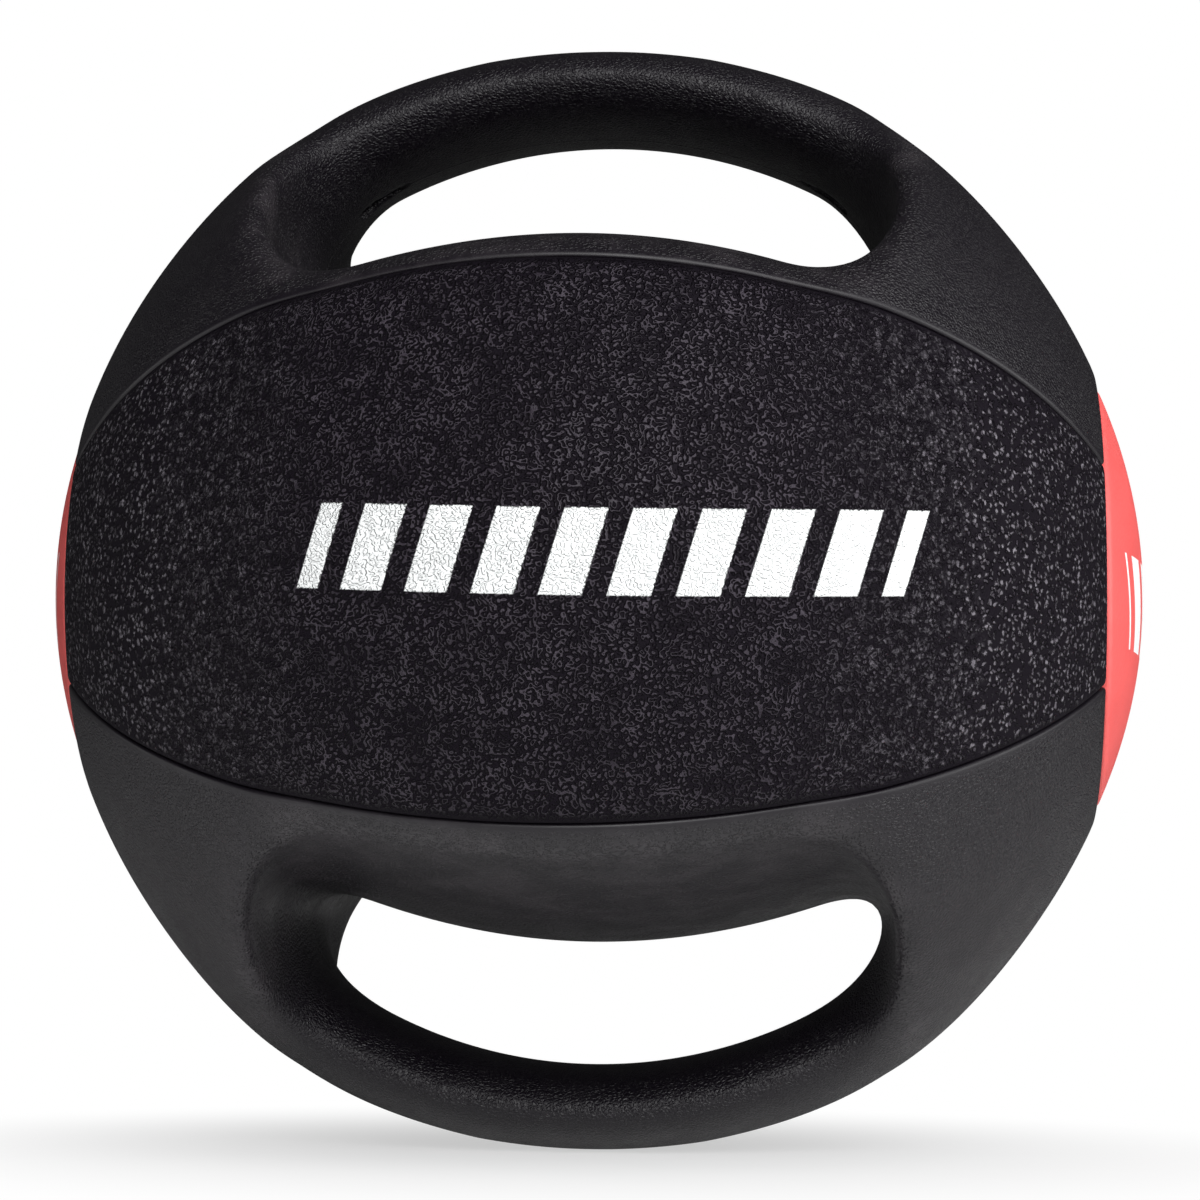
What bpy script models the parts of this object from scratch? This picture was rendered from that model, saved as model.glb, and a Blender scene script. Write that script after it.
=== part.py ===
"""A dual-grip rubber medicine ball, as an assembly of its separate pieces.

Frame: origin at the ball's centre, +Z up through the upper grip, +X through the right end
disc, and the front panel faces -Y. Lengths are in metres.

The ball is a moulded rubber cover on a thick weighted carcass. The cover has a front and a
rear panel, an upper and a lower handle section, and a round disc let into each end. Inside
are the two halves of the carcass, a wound yarn layer, an air bladder and its needle valve.
"""

import math

import bmesh
import bpy
from mathutils import Matrix, Vector

# Driving dimensions
REFERENCE_R = 0.140  # half the nominal 280 mm diameter; the recess scales with it
COVER_R = 0.1392  # outside of the cover panels
COVER_T = 0.0050  # thickness of the cover
GAP = 0.0003  # between neighbouring pieces
SEAM_ANGLE = math.radians(27.5)  # each seam above or below the front, about X
SEAM_ROUND = 0.0010  # rounded panel edges, which make the seam grooves
HANDLE_INNER_R = 0.45 * REFERENCE_R  # well below the recess floor, which cuts it off

# End discs
DISC_ANGLE = math.radians(23.14)  # edge of a disc, seen from the ball's centre
DISC_RIM_R = 0.1386  # distance of the disc's edge from the ball's centre
DISC_DOME_R = 0.1298  # radius of the disc's outside
DISC_SLOT = math.radians(0.38)  # angle of the open slot round the disc
DISC_ROUND = 0.0006

# Hand recess: a slot across the ball, with an arched floor and rounded ends
FLOOR_TOP = 0.634 * REFERENCE_R
FLOOR_RIDGE = 0.061  # slope of the mould draft on each side of the middle line
FLOOR_RIDGE_SOFT = 0.08 * REFERENCE_R
FLOOR_ARCH_X = 0.419 / REFERENCE_R
FLOOR_ARCH_Y = 0.137 / REFERENCE_R
RECESS_HALF_LENGTH = 0.560 * REFERENCE_R
RECESS_DRAFT = 0.085  # how much the ends close in towards the faces
RECESS_FILLET = 0.120 * REFERENCE_R
RECESS_TOP = 1.20 * REFERENCE_R
RECESS_REACH = 1.05 * REFERENCE_R

# Grip: a D-shaped bar bent round the ball
GRIP_OUTER_R = 1.006 * REFERENCE_R
GRIP_INNER_R = 0.858 * REFERENCE_R
GRIP_HALF_WIDTH = 0.200 * REFERENCE_R
GRIP_END = math.radians(52.0)  # from straight up; the ends are buried in the shoulders
GRIP_WIDEST = 0.62  # where the bar is widest, as a share of its depth from the inside
GRIP_SQUARENESS = 0.8  # below 1, the sides of the D are fuller than an ellipse's
GRIP_CROWN = 0.7  # below 1, the outside of the D is flatter than an ellipse's
SHOULDER_AT = math.radians(24.0)  # where the bar starts to flare
SHOULDER_EASE = 1.2  # above 1, the flare starts more slowly
SHOULDER_FLARE = 0.30 * REFERENCE_R
SHOULDER_DEPTH = 0.14 * REFERENCE_R
SHOULDER_RISE = 0.008 * REFERENCE_R  # the bar stands proudest where it meets them
BULGE_AT = math.radians(30.0)
BULGE_SPREAD = math.radians(14.0)
SHOULDER_SINK = 0.017 * REFERENCE_R  # buries the bar's ends in the ball
SINK_RATE = 1.4  # how much sooner they sink than they flare

# Stiff core in each grip
CORE_ARC_R = 0.80 * REFERENCE_R
CORE_ARC_CENTRE = 0.125 * REFERENCE_R
CORE_END = math.radians(52.0)
CORE_R = 0.0050

# Inner layers, as half-sizes along X, Y and Z of their outsides
WINDING_SEMI = Vector((0.1255, 0.1265, 0.0772))
WINDING_T = 0.0016
BLADDER_T = 0.0022

# Needle valve through the rear panel, along +Y
VALVE_R = 0.0040
VALVE_BORE_R = 0.0022
VALVE_FLANGE_R = 0.0110
VALVE_FLANGE_T = 0.0020
VALVE_FLANGE_DROP = 0.0040  # clears the curve of the bladder above the flat flange
VALVE_SINK = 0.0004  # how far the valve's face lies below the panel's
VALVE_HOLE = (0.5 * REFERENCE_R, 1.1 * REFERENCE_R)  # where its clearance hole runs along Y
PLUG_R = 0.0019
PLUG_LENGTH = 0.0160
NEEDLE_R = 0.0006
NEEDLE_DEPTH = 0.0100

# How finely each shape is divided: along its length, then round or across it
PANEL_GRID = (19, 9)
HANDLE_GRID = (21, 17)
RECESS_GRID = (21, 9)
GRIP_GRID = (21, 16)
CORE_GRID = (13, 8)
CARCASS_GRID = (26, 16)
LAYER_GRID = (20, 12)
DISC_SIDES = 32
DISC_RINGS = (7, 4)  # on the dome and on the flat-lying inside
VALVE_SIDES = 24
PLUG_SIDES = 20
SHARP_ANGLE = math.radians(35.0)  # edges sharper than this are shaded sharp
BEVEL_ANGLE = math.radians(50.0)  # edges sharper than this are rounded

ENDS = (("upper", 1), ("lower", -1))  # the two grips, above and below

# Colour, then roughness
COLOURS = {
    "cover_rubber": ((0.017, 0.016, 0.018), 0.45),
    "disc_rubber": ((0.80, 0.07, 0.06), 0.50),
    "core_plastic": ((0.10, 0.10, 0.11), 0.40),
    "carcass_rubber": ((0.035, 0.032, 0.030), 0.70),
    "yarn": ((0.72, 0.68, 0.58), 0.85),
    "bladder_rubber": ((0.05, 0.045, 0.04), 0.40),
    "valve_rubber": ((0.02, 0.02, 0.02), 0.35),
}


def clear_scene():
    for obj in list(bpy.data.objects):
        bpy.data.objects.remove(obj, do_unlink=True)


def material(name):
    """The named finish, made once and shared."""
    found = bpy.data.materials.get(name)
    if found:
        return found
    made = bpy.data.materials.new(name)
    made.use_nodes = True
    shader = made.node_tree.nodes["Principled BSDF"]
    colour, roughness = COLOURS[name]
    shader.inputs["Base Color"].default_value = (*colour, 1.0)
    shader.inputs["Roughness"].default_value = roughness
    shader.inputs["Metallic"].default_value = 0.0
    made.diffuse_color = (*colour, 1.0)
    return made


def add_object(name, mesh, finish=None):
    """A mesh object. Without a finish it is a cutter, which stays out of the model."""
    obj = bpy.data.objects.new(name, mesh)
    bpy.context.scene.collection.objects.link(obj)
    if finish:
        mesh.materials.append(material(finish))
        mesh.shade_smooth()
        mesh.set_sharp_from_angle(angle=SHARP_ANGLE)
    else:
        obj.hide_render = True
        obj.display_type = "WIRE"
    return obj


def mesh_from(name, corners, faces):
    """A mesh whose faces all point outwards."""
    shape = bmesh.new()
    verts = [shape.verts.new(corner) for corner in corners]
    for face in faces:
        shape.faces.new([verts[index] for index in face])
    bmesh.ops.recalc_face_normals(shape, faces=shape.faces)
    mesh = bpy.data.meshes.new(name)
    shape.to_mesh(mesh)
    shape.free()
    return mesh


def loft(name, sections):
    """A closed solid through rings that all have the same number of points."""
    count = len(sections[0])
    faces = [tuple(range(count)), tuple(range((len(sections) - 1) * count, len(sections) * count))]
    for ring in range(len(sections) - 1):
        for step in range(count):
            here = ring * count + step
            beside = ring * count + (step + 1) % count
            faces.append((here, beside, beside + count, here + count))
    return mesh_from(name, [corner for section in sections for corner in section], faces)


def spread(start, end, count):
    return [start + (end - start) * step / (count - 1) for step in range(count)]


def boolean(obj, other, operation="DIFFERENCE"):
    modifier = obj.modifiers.new(other.name, "BOOLEAN")
    modifier.operation = operation
    modifier.solver = "EXACT"
    modifier.object = other


def round_edges(obj, width, segments=2):
    modifier = obj.modifiers.new("rounded_edges", "BEVEL")
    modifier.width = width
    modifier.segments = segments
    modifier.limit_method = "ANGLE"
    modifier.angle_limit = BEVEL_ANGLE


def on_ball(radius, pole, around):
    """A point at this angle from +X, turned about X from the front (-Y) towards the top."""
    return Vector(
        (
            radius * math.cos(pole),
            -radius * math.sin(pole) * math.cos(around),
            radius * math.sin(pole) * math.sin(around),
        )
    )


def ball_sector(name, inner_r, outer_r, start, end, grid):
    """The part of a thick ball between two seam planes and the two disc openings."""
    pole_steps, around_steps = grid
    rim = DISC_ANGLE + DISC_SLOT
    clearance = GAP / 2 / COVER_R
    arounds = spread(start + clearance, end - clearance, around_steps)
    sections = []
    for pole in spread(rim, math.pi - rim, pole_steps):
        outside = [on_ball(outer_r, pole, around) for around in arounds]
        inside = [on_ball(inner_r, pole, around) for around in reversed(arounds)]
        sections.append(outside + inside)
    return sector_mesh(name, sections, around_steps)


def sector_mesh(name, sections, half):
    """A loft of two-sided strips, whose end caps are strips of quads too."""
    count = 2 * half
    last = (len(sections) - 1) * count
    faces = []
    for ring in range(len(sections) - 1):
        for step in range(count):
            here = ring * count + step
            beside = ring * count + (step + 1) % count
            faces.append((here, beside, beside + count, here + count))
    for base in (0, last):
        for step in range(half - 1):
            across = count - 1 - step
            faces.append((base + step, base + step + 1, base + across - 1, base + across))
    return mesh_from(name, [corner for section in sections for corner in section], faces)


def floor_height(x, y):
    """The recess floor: an arch along the grip, with a soft ridge along its middle."""
    ridge = math.hypot(y, FLOOR_RIDGE_SOFT) - FLOOR_RIDGE_SOFT
    return FLOOR_TOP - FLOOR_RIDGE * ridge - FLOOR_ARCH_X * x * x - FLOOR_ARCH_Y * y * y


def recess_cutter(name, side, wall):
    """The slot across the ball under a grip. wall makes it that much deeper and longer."""
    fillet = RECESS_FILLET + wall
    sections = []
    for y in spread(-RECESS_REACH, RECESS_REACH, RECESS_GRID[1]):
        end = RECESS_HALF_LENGTH - RECESS_DRAFT * abs(y) + wall
        profile = [Vector((-end, y, side * RECESS_TOP))]
        for turn in spread(-math.pi / 2, math.pi / 2, RECESS_GRID[0]):
            x = end * math.sin(turn)
            into = max(0.0, abs(x) - (end - fillet))
            rise = fillet - math.sqrt(max(0.0, fillet**2 - into**2))
            profile.append(Vector((x, y, side * (floor_height(x, y) - wall + rise))))
        profile.append(Vector((end, y, side * RECESS_TOP)))
        sections.append(profile)
    return add_object(name, loft(name, sections))


def ease(value):
    """0 below 0, 1 above 1, and a smooth step between."""
    value = min(1.0, max(0.0, value))
    return value * value * (3.0 - 2.0 * value)


def grip_section(angle, side):
    """The D-shaped section at this angle from straight up, bent to the ball's curve along Y."""
    towards_shoulder = (abs(angle) - SHOULDER_AT) / (GRIP_END - SHOULDER_AT)
    flare = ease(towards_shoulder) ** SHOULDER_EASE
    bulge = math.exp(-(((abs(angle) - BULGE_AT) / BULGE_SPREAD) ** 2))
    sink = SHOULDER_SINK * ease(SINK_RATE * towards_shoulder)
    outer = GRIP_OUTER_R + SHOULDER_RISE * bulge - sink
    inner = GRIP_INNER_R - SHOULDER_DEPTH * flare
    half_width = GRIP_HALF_WIDTH + SHOULDER_FLARE * flare
    widest = inner + GRIP_WIDEST * (outer - inner)
    radial = Vector((math.sin(angle), 0.0, side * math.cos(angle)))
    section = []
    for step in range(GRIP_GRID[1]):
        turn = 2.0 * math.pi * step / GRIP_GRID[1]
        across = math.copysign(abs(math.cos(turn)) ** GRIP_SQUARENESS, math.cos(turn)) * half_width
        if math.sin(turn) >= 0.0:
            height = widest + (outer - widest) * math.sin(turn) ** GRIP_CROWN
        else:
            height = widest + (widest - inner) * math.sin(turn)
        height -= outer - math.sqrt(outer**2 - across**2)
        section.append(radial * height + Vector((0.0, across, 0.0)))
    return section


def grip_bar(name, side):
    angles = spread(-GRIP_END, GRIP_END, GRIP_GRID[0])
    return add_object(name, loft(name, [grip_section(angle, side) for angle in angles]))


def core_mesh(name, side, clearance):
    """The bent rod in a grip, whose ends reach into the carcass on both sides."""
    radius = CORE_R + clearance
    end = CORE_END + clearance / CORE_ARC_R
    sections = []
    for angle in spread(-end, end, CORE_GRID[0]):
        radial = Vector((math.sin(angle), 0.0, side * math.cos(angle)))
        centre = CORE_ARC_R * radial + Vector((0.0, 0.0, side * CORE_ARC_CENTRE))
        section = []
        for step in range(CORE_GRID[1]):
            turn = 2.0 * math.pi * step / CORE_GRID[1]
            across = Vector((0.0, radius * math.sin(turn), 0.0))
            section.append(centre + radius * math.cos(turn) * radial + across)
        sections.append(section)
    return loft(name, sections)


def ball_mesh(name, semi, grid, side=0):
    """An ellipsoid with its poles on the X axis, or only its half on this side of Y = 0."""
    shape = bmesh.new()
    bmesh.ops.create_uvsphere(shape, u_segments=grid[0], v_segments=grid[1], radius=1.0)
    bmesh.ops.rotate(shape, verts=shape.verts, matrix=Matrix.Rotation(math.pi / 2, 3, "Y"))
    bmesh.ops.scale(shape, verts=shape.verts, vec=semi)
    if side:
        plane = Vector((0.0, side * GAP / 2, 0.0))
        everything = shape.verts[:] + shape.edges[:] + shape.faces[:]
        outwards = (0.0, -side, 0.0)
        bmesh.ops.bisect_plane(
            shape, geom=everything, plane_co=plane, plane_no=outwards, clear_outer=True
        )
        bmesh.ops.holes_fill(shape, edges=[edge for edge in shape.edges if edge.is_boundary])
    bmesh.ops.recalc_face_normals(shape, faces=shape.faces)
    mesh = bpy.data.meshes.new(name)
    shape.to_mesh(mesh)
    shape.free()
    return mesh


def turned_mesh(name, outline, sides, axis):
    """A ring of faces round the axis from an outline of (radius, height) points.

    A closed outline off the axis gives a tube. One that starts and ends on it gives a plug.
    """
    turn = Vector((0.0, 0.0, 1.0)).rotation_difference(axis).to_matrix()
    shape = bmesh.new()
    edge = [shape.verts.new((radius, 0.0, height)) for radius, height in outline]
    on_axis = outline[0][0] == 0.0
    pairs = list(zip(edge, edge[1:] if on_axis else edge[1:] + edge[:1]))
    edges = [shape.edges.new(pair) for pair in pairs]
    bmesh.ops.spin(
        shape,
        geom=edge + edges,
        axis=(0.0, 0.0, 1.0),
        cent=(0.0, 0.0, 0.0),
        angle=2.0 * math.pi,
        steps=sides,
        use_merge=True,
    )
    bmesh.ops.remove_doubles(shape, verts=shape.verts, dist=1e-6)
    bmesh.ops.rotate(shape, verts=shape.verts, matrix=turn)
    bmesh.ops.recalc_face_normals(shape, faces=shape.faces)
    mesh = bpy.data.meshes.new(name)
    shape.to_mesh(mesh)
    shape.free()
    return mesh


def cylinder_cutter(name, radius, start, end):
    outline = [(0.0, start), (radius, start), (radius, end), (0.0, end)]
    return add_object(name, turned_mesh(name, outline, VALVE_SIDES, Vector((0.0, 1.0, 0.0))))


def cover_panel(name, facing):
    """The front (facing 0) or rear (facing pi) panel, between its two seams."""
    start = facing - SEAM_ANGLE
    end = facing + SEAM_ANGLE
    mesh = ball_sector(name, COVER_R - COVER_T, COVER_R, start, end, PANEL_GRID)
    panel = add_object(name, mesh, "cover_rubber")
    round_edges(panel, SEAM_ROUND)
    return panel


def handle_section(name, side, carcass_space):
    """The cover over or under the ball: floor of the recess, shoulders and grip in one."""
    start, end = sorted((side * SEAM_ANGLE, side * (math.pi - SEAM_ANGLE)))
    mesh = ball_sector(name, HANDLE_INNER_R, COVER_R, start, end, HANDLE_GRID)
    section = add_object(name, mesh, "cover_rubber")
    round_edges(section, SEAM_ROUND)
    boolean(section, recess_cutter(name + "_recess", side, 0.0))
    boolean(section, grip_bar(name + "_grip", side), "UNION")
    boolean(section, carcass_space)
    pocket = name + "_core_pocket"
    boolean(section, add_object(pocket, core_mesh(pocket, side, GAP)))
    return section


def end_disc(name, side):
    """A domed round sheet, thickest in the middle, with a rounded edge."""
    inner_r = COVER_R - COVER_T + GAP
    rim_radius = DISC_RIM_R * math.sin(DISC_ANGLE)
    rim_height = DISC_RIM_R * math.cos(DISC_ANGLE)
    dome_angle = math.asin(rim_radius / DISC_DOME_R)
    dome_centre = rim_height - DISC_DOME_R * math.cos(dome_angle)
    outline = []
    for angle in spread(0.0, dome_angle, DISC_RINGS[0]):
        outline.append((DISC_DOME_R * math.sin(angle), dome_centre + DISC_DOME_R * math.cos(angle)))
    for angle in spread(DISC_ANGLE, 0.0, DISC_RINGS[1]):
        outline.append((inner_r * math.sin(angle), inner_r * math.cos(angle)))
    outline[0] = (0.0, outline[0][1])
    outline[-1] = (0.0, outline[-1][1])
    mesh = turned_mesh(name, outline, DISC_SIDES, Vector((side, 0.0, 0.0)))
    disc = add_object(name, mesh, "disc_rubber")
    round_edges(disc, DISC_ROUND, 1)
    return disc


def carcass_shape(name, radius, wall, finish=None, side=0):
    """The ball inside the cover, or half of it, with both hand recesses taken out."""
    semi = Vector((radius, radius, radius))
    shape = add_object(name, ball_mesh(name, semi, CARCASS_GRID, side), finish)
    for end, grip_side in ENDS:
        boolean(shape, recess_cutter(f"{name}_{end}_recess", grip_side, wall))
    return shape


def carcass_half(name, side):
    """Half of the weighted carcass, split at the mould's parting plane, Y = 0."""
    radius = COVER_R - COVER_T - GAP
    half = carcass_shape(name, radius, COVER_T + GAP, "carcass_rubber", side)
    space = WINDING_SEMI + Vector((GAP, GAP, GAP))
    boolean(half, add_object(name + "_space", ball_mesh(name + "_space", space, LAYER_GRID)))
    for end, grip_side in ENDS:
        pocket = f"{name}_{end}_pocket"
        boolean(half, add_object(pocket, core_mesh(pocket, grip_side, GAP)))
    return half


def hollow_layer(name, outer, thickness, finish, hole):
    """A thin closed layer of the bladder's shape, with a hole for the valve."""
    layer = add_object(name, ball_mesh(name, outer, LAYER_GRID), finish)
    inner = outer - Vector((thickness, thickness, thickness))
    inside = name + "_inside"
    boolean(layer, add_object(inside, ball_mesh(inside, inner, LAYER_GRID)))
    boolean(layer, hole)
    return layer


def valve(hole_bottom):
    """The flanged housing and the soft plug that the needle goes through."""
    top = COVER_R - VALVE_SINK
    along = Vector((0.0, 1.0, 0.0))
    flange_top = hole_bottom + VALVE_FLANGE_T
    housing = [
        (VALVE_BORE_R, top),
        (VALVE_R, top),
        (VALVE_R, flange_top),
        (VALVE_FLANGE_R, flange_top),
        (VALVE_FLANGE_R, hole_bottom),
        (VALVE_BORE_R, hole_bottom),
    ]
    mesh = turned_mesh("valve_housing", housing, VALVE_SIDES, along)
    add_object("valve_housing", mesh, "valve_rubber")
    plug_top = top - VALVE_SINK
    plug = [
        (0.0, plug_top - NEEDLE_DEPTH),
        (NEEDLE_R, plug_top - NEEDLE_DEPTH + NEEDLE_R),
        (NEEDLE_R, plug_top),
        (PLUG_R, plug_top),
        (PLUG_R, plug_top - PLUG_LENGTH),
        (0.0, plug_top - PLUG_LENGTH),
    ]
    mesh = turned_mesh("valve_plug", plug, PLUG_SIDES, along)
    add_object("valve_plug", mesh, "bladder_rubber")


def main():
    clear_scene()
    front = cover_panel("front_panel", 0.0)
    rear = cover_panel("rear_panel", math.pi)

    carcass_space = carcass_shape("carcass_space", COVER_R - COVER_T, COVER_T)
    for end, side in ENDS:
        handle_section(end + "_handle", side, carcass_space)
        core = end + "_handle_core"
        add_object(core, core_mesh(core, side, 0.0), "core_plastic")
    for end, side in (("right", 1), ("left", -1)):
        end_disc(end + "_end_disc", side)

    valve_hole = cylinder_cutter("valve_hole", VALVE_R + GAP, *VALVE_HOLE)
    carcass_half("carcass_front_half", -1)
    rear_half = carcass_half("carcass_rear_half", 1)
    boolean(rear_half, valve_hole)
    boolean(rear, valve_hole)
    bladder_semi = WINDING_SEMI - Vector((1, 1, 1)) * (WINDING_T + GAP)
    hollow_layer("yarn_winding", WINDING_SEMI, WINDING_T, "yarn", valve_hole)
    hollow_layer("air_bladder", bladder_semi, BLADDER_T, "bladder_rubber", valve_hole)
    valve(bladder_semi.y - BLADDER_T - VALVE_FLANGE_DROP - VALVE_FLANGE_T)


main()
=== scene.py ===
"""The looks of a dual-grip rubber medicine ball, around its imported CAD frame.

The four black covers are cut from one smooth shape: a ball, less a hand recess above and
below, plus a grip bar across each recess. It is written as a field, which is below 0 inside,
in units of the ball's radius. The field is sampled on a grid of (angle from +X, angle round
X, radius), so the mesh runs along the seams and round the end discs.
"""
import math
from itertools import product

import bpy
import numpy as np
from mathutils import Matrix, Vector


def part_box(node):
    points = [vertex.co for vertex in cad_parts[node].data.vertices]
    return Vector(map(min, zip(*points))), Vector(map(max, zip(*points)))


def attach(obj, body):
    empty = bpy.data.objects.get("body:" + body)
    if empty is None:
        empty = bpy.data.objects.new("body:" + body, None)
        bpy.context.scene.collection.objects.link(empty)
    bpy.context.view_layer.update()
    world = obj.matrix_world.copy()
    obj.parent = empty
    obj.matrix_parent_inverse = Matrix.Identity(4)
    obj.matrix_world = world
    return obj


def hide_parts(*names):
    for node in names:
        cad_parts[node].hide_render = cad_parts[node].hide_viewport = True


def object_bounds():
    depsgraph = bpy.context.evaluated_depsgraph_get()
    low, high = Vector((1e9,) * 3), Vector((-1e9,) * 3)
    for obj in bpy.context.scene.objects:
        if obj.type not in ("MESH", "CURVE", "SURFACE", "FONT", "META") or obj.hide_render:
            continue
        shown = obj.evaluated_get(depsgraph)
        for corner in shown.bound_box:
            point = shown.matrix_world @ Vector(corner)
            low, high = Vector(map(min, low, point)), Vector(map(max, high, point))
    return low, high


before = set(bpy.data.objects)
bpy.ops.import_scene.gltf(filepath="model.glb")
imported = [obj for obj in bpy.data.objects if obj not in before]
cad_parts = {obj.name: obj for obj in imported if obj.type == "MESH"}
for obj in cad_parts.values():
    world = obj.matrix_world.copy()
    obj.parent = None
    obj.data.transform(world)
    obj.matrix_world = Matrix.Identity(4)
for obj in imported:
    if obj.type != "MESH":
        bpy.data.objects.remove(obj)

CAD_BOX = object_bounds()

# ---------------------------------------------------------------- sizes
MM = 0.001
SHELL_SHARE = 0.994  # of a cover's radius, in units of the field
COVER_R = -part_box("front_panel")[0].y
UNIT = COVER_R / SHELL_SHARE  # one unit of the field, in metres
SEAM_ANGLE = math.radians(27.5)  # of each seam, above or below the front, about X
SEAM_HALF_GAP = 0.03 * MM / UNIT
SEAM_ROUND = 1.2 * MM / UNIT  # of the handle section's edge
PANEL_ROUND = 2.0 * MM / UNIT  # of the panel's edge, which sinks further into the groove
COVER_T = 5.0 * MM / UNIT
WALL_T = 5.3 * MM / UNIT
DISC_EDGE = math.radians(23.65)  # of the round opening for a disc, from the X axis
RIM_ROUND = 4.2 * MM / UNIT
VALVE_HOLE_R = 4.25 * MM / UNIT
VALVE_HOLE_ROUND = 0.6 * MM / UNIT

# Shape of the shoulders, recesses and grips, in units of the field; angles in degrees
SHOULDER_RISE = 0.022
SHOULDER_AT, SHOULDER_SPREAD = 58.44, 16.05
SHOULDER_WIDTH = 0.35
CROWN_RISE, CROWN_OVER = 0.0138, 20.0
UPPER_LIFT, LIFT_FROM, LIFT_OVER = 0.0125, 53.0, 10.0  # of the upper bar, over the lower one's height
FLOOR_TOP = 0.634
FLOOR_RIDGE, FLOOR_RIDGE_SOFT = 0.061, 0.08
FLOOR_ARCH_Y, FLOOR_ARCH_X = 0.137, 0.419
RECESS_HALF_LENGTH, RECESS_DRAFT = 0.60, 0.11
RECESS_BLEND = 0.19
GRIP_R, GRIP_WIDTH = 0.935, 0.215  # where the bar is widest, and half its width there
GRIP_DEPTH, GRIP_TOP = 0.079, 0.26  # of the bar below and above that
GRIP_BLEND, EDGE_BLEND = 0.156, 0.06
CORE_ARC_R, CORE_ARC_CENTRE, CORE_END = 0.80, 0.125, math.radians(52.0)
CORE_POCKET_R = 5.3 * MM / UNIT

# Mesh spacing, as angles or shares of the radius
COARSE, FINE = 2.1 * MM / UNIT, 0.42 * MM / UNIT
FINE_REACH = 1.3 * MM / UNIT


# ---------------------------------------------------------------- the shape
def soft_min(a, b, width):
    """The lesser of two fields, with a smooth blend where they cross."""
    near = np.maximum(width - np.abs(a - b), 0.0) / width
    return np.minimum(a, b) - near * near * width / 4.0


def soft_max(a, b, width):
    """The greater of two fields, blended in the same way."""
    return -soft_min(-a, -b, width)


def slot_field(x, y, z):
    """Below 0 under the recess floor or beyond its end walls."""
    ridge = np.sqrt(y * y + FLOOR_RIDGE_SOFT**2) - FLOOR_RIDGE_SOFT
    floor = FLOOR_TOP - FLOOR_RIDGE * ridge - FLOOR_ARCH_Y * y * y - FLOOR_ARCH_X * x * x
    below = 0.93 * (z - floor)
    beyond = RECESS_HALF_LENGTH - RECESS_DRAFT * y - x
    return soft_min(below, beyond, RECESS_BLEND)


def body_field(point):
    """Below 0 inside the whole ball, with its recesses and grips."""
    x, y, z = np.abs(point)
    radius = np.sqrt(x * x + y * y + z * z)
    turn = np.degrees(np.arctan2(z, x))
    along = np.clip((turn - LIFT_FROM) / LIFT_OVER, 0.0, 1.0)
    lift = np.where(point[2] > 0.0, UPPER_LIFT * along * along * (3.0 - 2.0 * along), 0.0)
    bend = np.hypot(x, z) - lift
    swell = SHOULDER_RISE * np.exp(-(((turn - SHOULDER_AT) / SHOULDER_SPREAD) ** 2))
    crown = CROWN_RISE * np.clip((turn - SHOULDER_AT) / CROWN_OVER, 0.0, 1.0)
    rise = (swell + crown + lift) * np.exp(-((y / SHOULDER_WIDTH) ** 2))
    sphere = radius - SHELL_SHARE - rise
    depth = np.where(bend < GRIP_R, GRIP_DEPTH, GRIP_TOP)
    across = np.hypot((bend - GRIP_R) / depth, y / GRIP_WIDTH)
    grip = 0.9 * GRIP_DEPTH * (across - 1.0)
    solid = soft_min(slot_field(x, y, z), grip, GRIP_BLEND)
    return soft_max(sphere, solid, EDGE_BLEND)


def seam_field(point):
    """The distance above the nearer seam's plane: above 0 on the handle side."""
    x, y, z = np.abs(point)
    return z * math.cos(SEAM_ANGLE) - y * math.sin(SEAM_ANGLE)


def rim_field(point):
    """Above 0 inside the round openings for the discs."""
    radius = np.sqrt((point * point).sum(axis=0))
    pole = np.arccos(np.clip(np.abs(point[0]) / radius, -1.0, 1.0))
    return radius * np.sin(DISC_EDGE - pole)


def core_field(point):
    """Above 0 inside the pocket for the stiff core of a grip."""
    x, y, z = np.abs(point)
    rise = z - CORE_ARC_CENTRE
    off = np.hypot(np.hypot(x, rise) - CORE_ARC_R, y)
    past = (np.arctan2(x, rise) - CORE_END) * CORE_ARC_R
    return np.minimum(CORE_POCKET_R - off, -past)


def handle_field(point):
    """Below 0 inside a handle section, which is hollowed out to take the carcass."""
    x, y, z = np.abs(point)
    radius = np.sqrt(x * x + y * y + z * z)
    carcass = np.maximum(radius - SHELL_SHARE + COVER_T, slot_field(x, y, z) + WALL_T)
    field = soft_max(body_field(point), SEAM_HALF_GAP - seam_field(point), SEAM_ROUND)
    field = soft_max(field, rim_field(point), RIM_ROUND)
    return np.maximum(np.maximum(field, -carcass), core_field(point))


def panel_field(point):
    """Below 0 inside a panel. The rear one has a hole for the valve."""
    radius = np.sqrt((point * point).sum(axis=0))
    field = soft_max(body_field(point), SEAM_HALF_GAP + seam_field(point), PANEL_ROUND)
    field = soft_max(field, rim_field(point), RIM_ROUND)
    hole = np.where(point[1] > 0.0, VALVE_HOLE_R - np.hypot(point[0], point[2]), -1.0)
    field = soft_max(field, hole, VALVE_HOLE_ROUND)
    return np.maximum(field, SHELL_SHARE - COVER_T - radius)


# ---------------------------------------------------------------- meshing
def steps_between(start, end, coarse, fine_at, fine=FINE, reach=FINE_REACH):
    """Values from start to end, close together near those in fine_at."""
    line = np.linspace(start, end, 6000)
    step = np.full(line.shape, coarse)
    for place in fine_at:
        away = np.maximum(np.abs(line - place) - reach, 0.0) / reach
        step = np.minimum(step, fine + (coarse - fine) * (1.0 - np.exp(-away)))
    count = np.concatenate(([0.0], np.cumsum(np.diff(line) / step[1:])))
    return np.interp(np.linspace(0.0, count[-1], int(count[-1]) + 1), count, line)


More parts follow.
